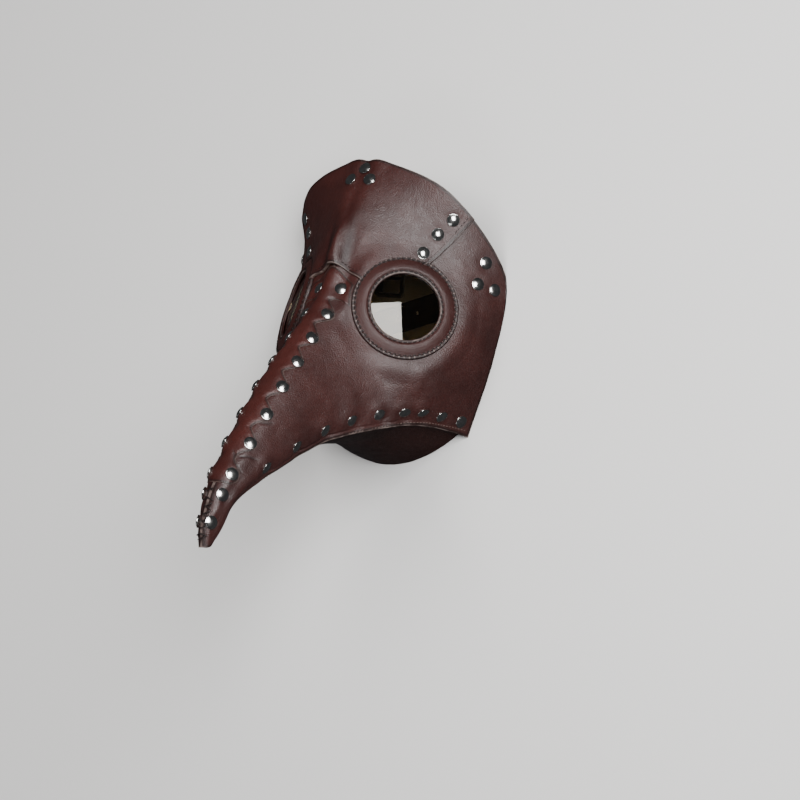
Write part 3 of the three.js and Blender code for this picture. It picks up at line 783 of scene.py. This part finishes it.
def on_eye(radius, angle, height):
    """A point about the left eye by its distance from the axis, turn round it and height."""
    radius, angle, height = np.broadcast_arrays(radius, angle, height)
    flat = np.cos(angle)[..., None] * SIDEWAYS + np.sin(angle)[..., None] * UPRIGHT
    return EYE + radius[..., None] * flat + height[..., None] * EYE_AXIS


def turned(profile, count):
    """A closed ring of quads: profile points in rows, turned round the eye's axis."""
    profile = np.array(profile)
    turn = np.linspace(0, 2 * np.pi, count, endpoint=False)
    points = on_eye(profile[:, 0][:, None], turn[None], profile[:, 1][:, None])
    rows = len(profile)
    number = np.arange(rows * count).reshape(rows, count)
    after = np.roll(number, -1, axis=1)
    below = np.roll(number, -1, axis=0)
    both = np.roll(after, -1, axis=0)
    faces = np.stack([number, below, both, after], -1).reshape(-1, 4)
    return points, faces


def eye_ring(side, mirror):
    fine = along(np.array(RING_PROFILE), np.linspace(0, len(RING_PROFILE) - 1, 58))
    profile = np.vstack([fine, RING_UNDER])
    points, faces = turned(profile, 372 // DETAIL)
    radius = profile[:, 0][:, None]
    lump = 0.16 * mottle(points, 9, seed=41) + 0.07 * mottle(points, 3, seed=42)
    padding = np.where(np.arange(len(profile)) < len(fine), 1, 0)[:, None] * smooth(24, 27, radius)
    points = points + (lump * padding)[..., None] * EYE_AXIS
    turn = np.linspace(0, 2 * np.pi, points.shape[1], endpoint=False)[None]
    beads = 0.72 + 0.28 * np.cos(turn * OUTER_COUNT)
    rubbed = 0.9 * beads * np.exp(-((radius - 36.7) / 1.2) ** 4)
    rubbed = rubbed + 0.9 * np.exp(-((radius - 24.9) / 0.8) ** 4)
    for at, count in PUCKERED:
        pucker = np.exp(-((radius - at) / 0.5) ** 2) * np.maximum(np.cos(turn * count), 0)
        points = points + (PUCKER * pucker * padding)[..., None] * EYE_AXIS
        rubbed = rubbed + 0.5 * pucker
    marks = {"edge": np.minimum(rubbed, 1).ravel(), "inside": np.zeros(points[..., 0].size)}
    name = f"eye_ring_leather_{side}"
    piece = place(name, points.reshape(-1, 3), faces[:, ::-1].tolist(), marks, mirror)
    join(piece, RING_LEATHER, "ring_leather", f"eye_ring_{side}")


def cord_material(name, color):
    material, tree, shader = new_material(name, {"Roughness": 0.55})
    fuzz = noise(tree, wire(tree, "ShaderNodeTexCoord").outputs["Object"], 2600.0, 3.0)
    tint = blend(tree, fuzz, (*[0.55 * c for c in color], 1), (*[1.5 * c for c in color], 1))
    tree.links.new(tint, shader.inputs["Base Color"])
    add_bump(tree, shader, fuzz, 0.00012, 0.7)
    return material


THREAD = cord_material("waxed_thread", (0.009, 0.0035, 0.003))
PALE_THREAD = cord_material("rubbed_thread", (0.10, 0.064, 0.054))


def capsule(sides=7, rings=5):
    """A rounded stitch of unit length and unit radius, along x, as points and quads."""
    spots = np.linspace(-1, 1, rings + 2)[1:-1]
    turn = np.linspace(0, 2 * np.pi, sides, endpoint=False)
    points = [(-0.5, 0, 0)]
    for spot in spots:
        swell = math.sqrt(1 - abs(spot) ** 3)
        points += [(0.5 * spot, swell * math.cos(t), swell * math.sin(t)) for t in turn]
    points.append((0.5, 0, 0))
    faces = []
    for k in range(sides):
        after = (k + 1) % sides
        faces.append([0, 1 + after, 1 + k])
        for r in range(rings - 1):
            base = 1 + r * sides
            faces.append([base + k, base + after, base + sides + after, base + sides + k])
        end = 1 + (rings - 1) * sides
        faces.append([end + k, end + after, len(points) - 1])
    return np.array(points), faces


def trace(spots, run, line):
    """Where the places spots fall on a line whose points are at the places run."""
    return np.stack([np.interp(spots, run, column) for column in line.T], -1)


def stitches(
        name, runs, pitch, length, radius,
        mirror=False, lean=0.0, cord=THREAD, slot="shell_leather"):
    """Rows of stitches along runs, each a line of points with the way the leather faces there."""
    shape, shape_faces = capsule()
    random = np.random.default_rng(len(name) * 7 + 5)
    points = []
    faces = []
    for line, up in runs:
        run = run_along(line)
        count = max(int(run[-1] / pitch), 1)
        spots = (np.arange(count) + 0.5) * run[-1] / count
        spots = spots + random.uniform(-0.06, 0.06, count) * pitch
        ways = trace(spots + 0.5, run, line) - trace(spots - 0.5, run, line)
        for middle, way, facing in zip(trace(spots, run, line), ways, trace(spots, run, up)):
            x = way / max(np.linalg.norm(way), 1e-6)
            y = np.cross(facing, x)
            y = y / max(np.linalg.norm(y), 1e-6)
            turn = lean + random.uniform(-0.07, 0.07)
            x, y = x * math.cos(turn) + y * math.sin(turn), y * math.cos(turn) - x * math.sin(turn)
            stitch = shape * (length * random.uniform(0.92, 1.06), radius, radius)
            start = len(points) * len(shape)
            faces += [[start + i for i in corners] for corners in shape_faces]
            points.append(middle + stitch @ np.array([x, y, np.cross(x, y)]))
    piece = place(name, np.vstack(points), faces, None, mirror)
    join(piece, cord, slot)


def ring_stitches(side, mirror):
    runs = []
    turn = np.linspace(0, 2 * np.pi, 240)
    for radius, height in (INNER_STITCHES, OUTER_STITCHES):
        line = on_eye(radius, turn, height)
        runs.append((line, np.broadcast_to(EYE_AXIS, line.shape)))
    stitches(
        f"eye_ring_stitches_{side}", runs, pitch=3.5, length=2.4, radius=0.62,
        mirror=mirror, lean=0.15, slot="ring_leather")


for side, mirror in SIDES:
    eye_ring(side, mirror)
    ring_stitches(side, mirror)


# Lenses. Flat 1 mm sheets of clear plastic, tinted a dark olive brown, which stay as the CAD makes
# them and get their see-through finish here.
def lens_material():
    clear = {"Base Color": (0.30, 0.235, 0.14, 1), "Transmission Weight": 1.0, "IOR": 1.49}
    material, tree, shader = new_material("tinted_lens", clear)
    smear = noise(tree, wire(tree, "ShaderNodeTexCoord").outputs["Object"], 90.0, 4.0)
    tree.links.new(span(tree, smear, 0.45, 0.75, 0.0, 0.025), shader.inputs["Roughness"])
    return material


LENS = lens_material()
for side in ("left", "right"):
    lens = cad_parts[f"lens_{side}"]
    lens.data.materials.clear()
    lens.data.materials.append(LENS)


# Rivets. Two part caps of nickel plated brass, 9 mm across, with a low dome and a thin rolled rim.
# Each sits in the dimple that its setting left, and the plating is lightly scratched.
CAP_RADIUS = 4.5
CAP_HEIGHT = 1.45
# The skirt and the rolled rim, as shares of the cap's radius and height
CAP_RIM = [
    (0.88, -0.75), (0.98, -0.15), (1.0, 0.0), (1.0, 0.08), (0.985, 0.16), (0.95, 0.21),
    (0.915, 0.21),
]


def nickel_material():
    material, tree, shader = new_material("polished_nickel", {"Metallic": 1.0})
    spot = wire(tree, "ShaderNodeTexCoord").outputs["Object"]
    haze = noise(tree, spot, 420.0, 4.0)
    scratch = noise(tree, spot, 3400.0, 2.0, distortion=1.2)
    tree.links.new(span(tree, haze, 0.35, 0.7, 0.13, 0.26), shader.inputs["Roughness"])
    tint = blend(tree, haze, (0.50, 0.49, 0.47, 1), (0.74, 0.73, 0.71, 1))
    tree.links.new(tint, shader.inputs["Base Color"])
    add_bump(tree, shader, scratch, 0.00002, 0.4)
    return material


NICKEL = nickel_material()


def dome(count=32, rings=9):
    """Points and quads of a rivet cap round +Z: a skirt, a rolled rim and a low dome."""
    profile = list(CAP_RIM)
    for reach in np.linspace(0.88, 0.08, rings):
        profile.append((reach, 0.24 + 0.76 * (1 - (reach / 0.91) ** 2)))
    turn = np.linspace(0, 2 * np.pi, count, endpoint=False)
    points = [(r * math.cos(t), r * math.sin(t), h) for r, h in profile for t in turn]
    points.append((0, 0, 1))
    top = len(points) - 1
    faces = [list(range(count))[::-1]]
    for row in range(0, (len(profile) - 1) * count, count):
        for k in range(count):
            after = (k + 1) % count
            faces.append([row + k, row + after, row + count + after, row + count + k])
    last = (len(profile) - 1) * count
    faces += [[last + k, last + (k + 1) % count, top] for k in range(count)]
    return np.array(points) * (CAP_RADIUS, CAP_RADIUS, CAP_HEIGHT), faces


DOME_POINTS, DOME_FACES = dome()


def dome_at(section, guide, lift):
    """A cap's points, seated on the leather and leaning with it."""
    middle, n = seat(section, guide)
    middle = middle + (lift + shell_relief(middle)) * n
    n = n + lean_at(section, guide)
    if guide == 0:
        n = n * (0, 1, 1)
    n = n / np.linalg.norm(n)
    side = np.cross((0, 1, 0), n)
    side = side / np.linalg.norm(side)
    return middle + DOME_POINTS @ np.array([side, np.cross(n, side), n])


def rivet(node, spot, lift, mirror):
    cap = place(f"{node}_cap", dome_at(*spot, lift), DOME_FACES, None, mirror)
    join(cap, NICKEL, "nickel", node)


def rivet_row(name, spots, lift):
    for k, spot in enumerate(spots, 1):
        for side, mirror in SIDES:
            rivet(f"{name}_{k}_{side}", spot, lift, mirror)


def seam_rivets(side, mirror):
    """The rivets of one lower cheek edge, which are part of the cheek in the CAD."""
    caps = [dome_at(section, guide, IN_SEAM) for section, guide in SEAM_RIVETS]
    starts = [k * len(DOME_POINTS) for k in range(len(caps))]
    faces = [[start + i for i in corners] for start in starts for corners in DOME_FACES]
    piece = place(f"seam_rivets_{side}", np.vstack(caps), faces, None, mirror)
    join(piece, NICKEL, "nickel", f"cheek_panel_{side}")


ON_STRIP = STRIP_LIFT + STRIP
ON_PANEL = 0.15
ON_FOREHEAD = PANEL + GAP + 0.25
IN_SEAM = -0.5
rivet_row("ridge_rivet", [(s, 1) for s in RIDGE_RIVETS], ON_STRIP)
rivet_row("tip_rivet", TIP_RIVETS, ON_PANEL)
rivet_row("temple_rivet", TEMPLE_RIVETS, ON_PANEL)
rivet_row("brow_rivet", BROW_RIVETS, ON_FOREHEAD)
crown_side, crown_middle = CROWN_RIVETS
rivet("crown_rivet_left", crown_side, ON_FOREHEAD, False)
rivet("crown_rivet_right", crown_side, ON_FOREHEAD, True)
rivet("crown_rivet_middle", crown_middle, ON_FOREHEAD, False)
for side, mirror in SIDES:
    seam_rivets(side, mirror)


# Stitching and lacing. Waxed cord runs along the lower edge of each cheek and round the forehead
# panel, and crosses of it lace the two cheeks together on the ridge of the tip.
def seam_line(sections, guides, lift):
    """A line over the leather through places given by section and guide, and the way it faces."""
    line = []
    facing = []
    for section, guide in zip(sections, guides):
        p, n = seat(section, guide, lift)
        line.append(p)
        facing.append(n)
    return np.array(line), np.array(facing)


EDGE_STITCH_GUIDE = 4.93
RIM_STITCH = 7.93
FOREHEAD_TOP = GAP + PANEL
LACING = np.linspace(0.4, 1.88, 8)
LACING_GUIDE = 0.62


def cheek_stitches(side, mirror):
    sections = np.linspace(1.2, RIM_STITCH, 150)
    low = seam_line(sections, np.full(150, EDGE_STITCH_GUIDE), lift=-0.35)
    stitches(
        f"cheek_edge_stitches_{side}", [low], pitch=2.6, length=1.7, radius=0.3,
        mirror=mirror, lean=0.08, cord=PALE_THREAD)


def forehead_stitches(side, mirror):
    guides = np.linspace(0.5, 1.35, 30)
    low = BROW_TOP - BROW_DROP * guides ** DROP_POWER
    brow = seam_line(low + 0.07, guides, FOREHEAD_TOP + 0.1)
    down = np.linspace(6.62, RIM_STITCH, 34)
    flank = seam_line(down, np.full(34, SIDE_SEAM - 0.055), FOREHEAD_TOP)
    stitches(
        f"forehead_stitches_{side}", [brow, flank], pitch=3.0, length=2.3, radius=0.3,
        mirror=mirror, lean=0.08)


def tip_lacing():
    """Cross stitches over the ridge, from the cross seam of the strip to the tip.

    The second stitch of each cross lies over the first.
    """
    runs = []
    step = (LACING[1] - LACING[0]) * 0.42
    share = np.linspace(-1, 1, 9)
    for middle in LACING:
        for slant, over in ((-1, 0), (1, 0.3)):
            places = face(middle + slant * step * share, LACING_GUIDE * share)
            spots = np.array([places[k, k] for k in range(len(share))])
            up = np.array([seat(middle, LACING_GUIDE * abs(s) + 0.01)[1] for s in share])
            up[share < 0, 0] *= -1
            spots = spots + up * (0.35 + 0.35 * (1 - share ** 2) + over)[:, None]
            runs.append((spots, up))
    stitches("tip_lacing", runs, pitch=40.0, length=7.2, radius=0.45)


for side, mirror in SIDES:
    cheek_stitches(side, mirror)
    forehead_stitches(side, mirror)
tip_lacing()


# Head straps. Two bands of strap leather riveted inside the temples. With the mask laid down they
# turn in at the rim and lie on the table: a long punched one, and a short one with the buckle.
STRAP = 2.4
STRAP_WIDTH = 20.0
STRAP_Y = 2.0
STRAP_CLEAR = 2.4
STRAP_TOP = (7.15, 2.9)
STRAP_LOW = (7.8, 2.97)
TURN_RADIUS = 5.0
FLAT_POINTS = 40
TONGUE = 9.0
HOLE_RADIUS = 2.0
KEEPER_WALL = 1.6
STRAP_LEATHER = leather(
    "strap_leather", (0.011, 0.0042, 0.0034), (0.026, 0.0098, 0.0076), (0.14, 0.09, 0.07),
    wear=0.6, grain=0.8)


def strap_line(height, end, drift):
    """Centre line: down the inside of the left temple, round a turn and flat to its end at x.

    drift is how far it strays in y for each millimetre of its length.
    """
    hang = -PANEL - STRAP_CLEAR - STRAP / 2
    top = seat(*STRAP_TOP, hang)[0] * (1, 0, 1)
    low = seat(*STRAP_LOW, hang)[0] * (1, 0, 1)
    slope = math.atan2(low[2] - top[2], low[0] - top[0])
    turn_z = height + TURN_RADIUS * (1 + math.cos(slope))
    bottom = top + (low - top) * (turn_z - top[2]) / (low[2] - top[2])
    centre = bottom + TURN_RADIUS * np.array((math.sin(slope), 0, -math.cos(slope)))
    line = [top + (bottom - top) * share for share in np.linspace(0, 0.95, 8)]
    for a in np.linspace(slope + math.pi / 2, -math.pi / 2, 14):
        line.append(centre + TURN_RADIUS * np.array((math.cos(a), 0, math.sin(a))))
    line += [np.array((x, 0, height)) for x in np.linspace(centre[0] - 3, end, FLAT_POINTS)]
    line = np.array(line)
    line[:, 1] = STRAP_Y + drift * run_along(line)
    return line


def band(name, line, mirror, round_end, holes=()):
    """A strap along a centre line, with rounded edges, a round end if asked, and punched holes."""
    run = np.gradient(line, axis=0)
    run = run / np.linalg.norm(run, axis=-1, keepdims=True)
    wide = np.array((0, 1.0, 0)) - run[:, 1:2] * run
    wide = wide / np.linalg.norm(wide, axis=-1, keepdims=True)
    thick = np.cross(run, wide)
    left = np.linalg.norm(line[-1] - line, axis=-1)
    half = np.full(len(line), STRAP_WIDTH / 2)
    if round_end:
        half = half * np.sqrt(1 - np.clip(1 - left / TONGUE, 0, 1) ** 2 * 0.96)
    across = np.linspace(-1, 1, 25)
    grid = line[:, None] + (across[None, :, None] * half[:, None, None]) * wide[:, None]
    from_edge = (1 - np.abs(across)) * STRAP_WIDTH / 2
    crease = 0.25 * np.exp(-(from_edge - 2.2) ** 2 / 0.5)
    outer = grid + (STRAP / 2 - crease)[None, :, None] * thick[:, None]
    inner = grid - STRAP / 2 * thick[:, None]
    kept = None
    if holes:
        kept = np.ones((len(line) - 1, len(across) - 1), bool)
        middles = (grid[:-1, :-1] + grid[1:, 1:]) / 2
        for hole in holes:
            kept &= np.linalg.norm(middles - hole, axis=-1) > HOLE_RADIUS
    keep_above_table(outer, inner)
    return closed_sheet(name, outer, inner, edge_distance(grid), kept, mirror)


LONG_END = -46.0
LONG_DRIFT = -0.3
HOLE_PLACES = (0.47, 0.61, 0.75, 0.89)


def left_strap():
    line = strap_line(STRAP / 2, LONG_END, LONG_DRIFT)
    marks = np.arange(FLAT_POINTS)
    dense = trace(np.linspace(0, marks[-1], 150), marks, line[-FLAT_POINTS:])
    line = np.vstack([line[:-FLAT_POINTS], dense])
    holes = [dense[0] + (dense[-1] - dense[0]) * share for share in HOLE_PLACES]
    piece = band("side_strap_leather_left", line, False, True, holes)
    join(piece, STRAP_LEATHER, "strap_leather", "side_strap_left")


# The short strap is folded over the bar of the buckle and comes back under the keeper
FOLD_RADIUS = 3.4
SHORT_HEIGHT = KEEPER_WALL + 2 * GAP + STRAP / 2
SHORT_END = 18.0


def right_strap():
    line = list(strap_line(SHORT_HEIGHT, SHORT_END, 0))
    bar = np.array((SHORT_END, STRAP_Y, SHORT_HEIGHT + FOLD_RADIUS))
    for a in np.linspace(-math.pi / 2, math.pi / 2, 14)[1:]:
        line.append(bar + FOLD_RADIUS * np.array((-math.cos(a), 0, math.sin(a))))
    settled = SHORT_HEIGHT + STRAP + 2 * GAP
    back = np.array([(0, FOLD_RADIUS * 2 - STRAP - 2 * GAP), (5, 2.6), (11, 0.6), (16, 0), (34, 0)])
    ease = along(back, np.linspace(0, 4, 30))[1:]
    line += [np.array((SHORT_END + x, STRAP_Y, settled + z)) for x, z in ease]
    piece = band("side_strap_leather_right", np.array(line), True, False)
    join(piece, STRAP_LEATHER, "strap_leather", "side_strap_right")


left_strap()
right_strap()
FITTINGS = {"buckle_frame": NICKEL, "buckle_prong": NICKEL, "strap_keeper": STRAP_LEATHER}
for node, material in FITTINGS.items():
    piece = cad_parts[node]
    piece.data.materials.clear()
    piece.data.materials.append(material)
    round_edges(piece, width=0.4, angle=30)


# Studio. A pale floor that leaves no mirror image in the rivets, two soft fills, a softbox whose
# corner shows in the left lens, and the camera at the photographed angle, above the lying mask.
CAMERA_AT = np.array((1301.46, -234.71, 1844.70)) + SHIFT
CAMERA_RIGHT = np.array((0.81855, 0.09321, -0.56683))
CAMERA_UP = np.array((-0.03839, 0.99342, 0.10792))
CAMERA_BACK = np.array((0.57315, -0.06658, 0.81674))
FOCAL_PIXELS = 3168.0
FRAME_PIXELS = 800.0
SENSOR = 36.0
LENS_FRONT = GAP + 1.0

camera_data = bpy.data.cameras.new("camera")
camera_data.sensor_width = SENSOR
camera_data.lens = FOCAL_PIXELS * SENSOR / FRAME_PIXELS
camera_data.clip_end = 20
camera = bpy.data.objects.new("camera", camera_data)
bpy.context.scene.collection.objects.link(camera)
turn = Matrix([CAMERA_RIGHT, CAMERA_UP, CAMERA_BACK]).transposed()
camera.matrix_world = Matrix.Translation(Vector(CAMERA_AT * MM)) @ turn.to_4x4()
bpy.context.scene.camera = camera

FLOOR_HALF = 4.0
floor_mesh = bpy.data.meshes.new("floor")
corners = [(x * FLOOR_HALF, y * FLOOR_HALF, 0) for x, y in ((-1, -1), (1, -1), (1, 1), (-1, 1))]
floor_mesh.from_pydata(corners, [], [(0, 1, 2, 3)])
floor = bpy.data.objects.new("floor", floor_mesh)
bpy.context.scene.collection.objects.link(floor)
paper = new_material("pale_paper", {"Base Color": (0.74, 0.73, 0.72, 1), "Roughness": 0.9})[0]
floor.data.materials.append(paper)
floor.visible_glossy = False


def area_light(name, width, height, power, color=(1, 1, 1)):
    data = bpy.data.lights.new(name, "AREA")
    data.shape = "RECTANGLE"
    data.size = width
    data.size_y = height
    data.energy = power
    data.color = color
    light = bpy.data.objects.new(name, data)
    bpy.context.scene.collection.objects.link(light)
    return light


def fill(name, direction, distance, size, power, color, mirrored):
    """A soft light that faces the middle of the mask, with or without a mirror image."""
    direction = Vector(direction).normalized()
    light = area_light(name, *size, power, color)
    light.location = MASK_MIDDLE + direction * distance
    light.rotation_euler = direction.to_track_quat("Z", "Y").to_euler()
    light.visible_glossy = mirrored


def lens_ray(px, py):
    """Where the camera's view through a pixel goes once the left lens has reflected it."""
    middle = FRAME_PIXELS / 2
    ray = CAMERA_RIGHT * (px - middle) + CAMERA_UP * (middle - py) - CAMERA_BACK * FOCAL_PIXELS
    ray = ray / np.linalg.norm(ray)
    spot = EYE + SHIFT + EYE_AXIS * LENS_FRONT
    hit = CAMERA_AT + ray * ((spot - CAMERA_AT) @ EYE_AXIS) / (ray @ EYE_AXIS)
    return hit, ray - 2 * (ray @ EYE_AXIS) * EYE_AXIS


def softbox(corner, beside, below, distance, width, height, power):
    """The key light, placed so that its corner and two edges mirror in the left lens at pixels."""
    middle, out = lens_ray(*corner)
    plane = middle + out * distance
    spots = []
    for pixel in (corner, beside, below):
        start, way = lens_ray(*pixel)
        spots.append(start + way * ((plane - start) @ out) / (way @ out))
    x = (spots[1] - spots[0]) / np.linalg.norm(spots[1] - spots[0])
    y = (spots[2] - spots[0]) - ((spots[2] - spots[0]) @ x) * x
    y = y / np.linalg.norm(y)
    centre = spots[0] + x * width / 2 + y * height / 2
    z = np.cross(x, y)
    if z @ out < 0:
        y, z = -y, -z
    light = area_light("softbox", width * MM, height * MM, power)
    turn = Matrix([x, y, z]).transposed().to_4x4()
    light.matrix_world = Matrix.Translation(Vector(centre * MM)) @ turn


# Pixels of the photographed view where the softbox ends in the left lens
LENS_CORNER = (401, 302)
LENS_BESIDE = (373, 303)
LENS_BELOW = (401, 345)
softbox(
    LENS_CORNER, LENS_BESIDE, LENS_BELOW, distance=1150.0, width=600.0, height=900.0, power=32)
MASK_MIDDLE = Vector((0, 0, 0.08))
fill(
    "overhead", (-0.15, 0.25, 1.0), distance=2.2, size=(1.4, 1.0), power=33,
    color=(1.0, 0.985, 0.97), mirrored=False)
fill(
    "low_fill", (-0.12, -0.66, 0.62), distance=2.0, size=(1.5, 0.5), power=7,
    color=(0.95, 0.98, 1.0), mirrored=True)
world = bpy.data.worlds.new("studio")
world.use_nodes = True
world.node_tree.nodes["Background"].inputs["Color"].default_value = (0.75, 0.78, 0.82, 1)
world.node_tree.nodes["Background"].inputs["Strength"].default_value = 0.06
bpy.context.scene.world = world
